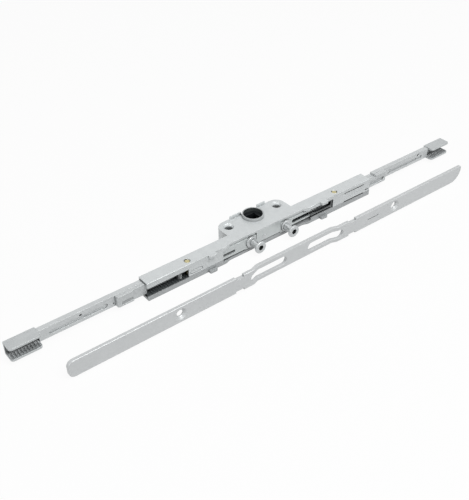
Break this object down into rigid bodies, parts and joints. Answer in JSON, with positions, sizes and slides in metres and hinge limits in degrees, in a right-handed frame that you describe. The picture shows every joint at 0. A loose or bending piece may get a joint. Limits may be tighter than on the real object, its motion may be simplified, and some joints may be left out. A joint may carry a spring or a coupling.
{
  "type": "window espagnolette gearbox",
  "caption": "Slim window espagnolette gearbox: a turning square socket drives opposed locking bars with mushroom-headed cams, rods and end couplings, its slotted faceplate lifted off.",
  "frame": {"origin": "on the spindle axis, on the face of the case that the handle is screwed against, midway between the handle screws", "axes": "+X along the bars to the right, +Y away from the faceplate, -Y out through the faceplate towards the keepers, +Z along the spindle towards the handle"},
  "size_m": [0.382, 0.0549, 0.016],
  "materials": {
    "case_metal": "satin die-cast zinc alloy with a faint mottled grain",
    "pressed_steel": "bright zinc-plated pressed steel",
    "turned_steel": "bright zinc-plated turned steel",
    "rod_steel": "zinc-plated flat steel",
    "shoe_metal": "satin die-cast zinc alloy",
    "coupling_metal": "satin die-cast zinc alloy",
    "faceplate_steel": "satin plated steel",
    "black_hub": "black coated die casting",
    "brass": "bright brass",
    "black_nylon": "black moulded nylon"
  },
  "bodies": {
    "case": {"upper_case": "case_metal", "lower_case": "case_metal", "case_rivets": "brass", "centre_bridge": "pressed_steel", "pinion_pin": "turned_steel", "left_glide": "black_nylon", "right_glide": "black_nylon", "faceplate": "faceplate_steel"},
    "hub": {"follower_hub": "black_hub"},
    "pinion": {"reversing_pinion": "turned_steel"},
    "left_slide": {"left_drive_bar": "pressed_steel", "left_rod": "rod_steel", "left_shoe": "shoe_metal", "left_coupling": "coupling_metal", "left_rod_rivets": "turned_steel"},
    "right_slide": {"right_drive_bar": "pressed_steel", "right_rod": "rod_steel", "right_shoe": "shoe_metal", "right_coupling": "coupling_metal", "right_rod_rivets": "turned_steel"},
    "left_cam": {"left_cam_bush": "turned_steel", "left_cam_stud": "turned_steel"},
    "right_cam": {"right_cam_bush": "turned_steel", "right_cam_stud": "turned_steel"}
  },
  "joints": [
    {"name": "hub_turn", "type": "hinge", "parent": "case", "child": "hub", "pos_m": [0, 0, 0], "axis": [0, 0, -1], "range_deg": [0, 90]},
    {"name": "left_bar_slide", "type": "slide", "parent": "case", "child": "left_slide", "axis": [-1, 0, 0], "range_m": [0, 0.018]},
    {"name": "right_bar_slide", "type": "slide", "parent": "case", "child": "right_slide", "axis": [1, 0, 0], "range_m": [0, 0.018]},
    {"name": "pinion_turn", "type": "hinge", "parent": "case", "child": "pinion", "pos_m": [-0.0025, -0.01225, -0.0074], "axis": [0, -1, 0], "range_deg": [0, 405]},
    {"name": "left_cam_turn", "type": "hinge", "parent": "left_slide", "child": "left_cam", "pos_m": [-0.0145, -0.0145, -0.007], "axis": [0, -1, 0], "range_deg": [-90, 90]},
    {"name": "right_cam_turn", "type": "hinge", "parent": "right_slide", "child": "right_cam", "pos_m": [0.0169, -0.0145, -0.007], "axis": [0, -1, 0], "range_deg": [-90, 90]}
  ],
  "couplings": [
    {"joint": "left_bar_slide", "follows": "right_bar_slide", "ratio": 1},
    {"joint": "hub_turn", "follows": "right_bar_slide", "rad_per_m": 87.266},
    {"joint": "pinion_turn", "follows": "right_bar_slide", "rad_per_m": 392.7}
  ]
}
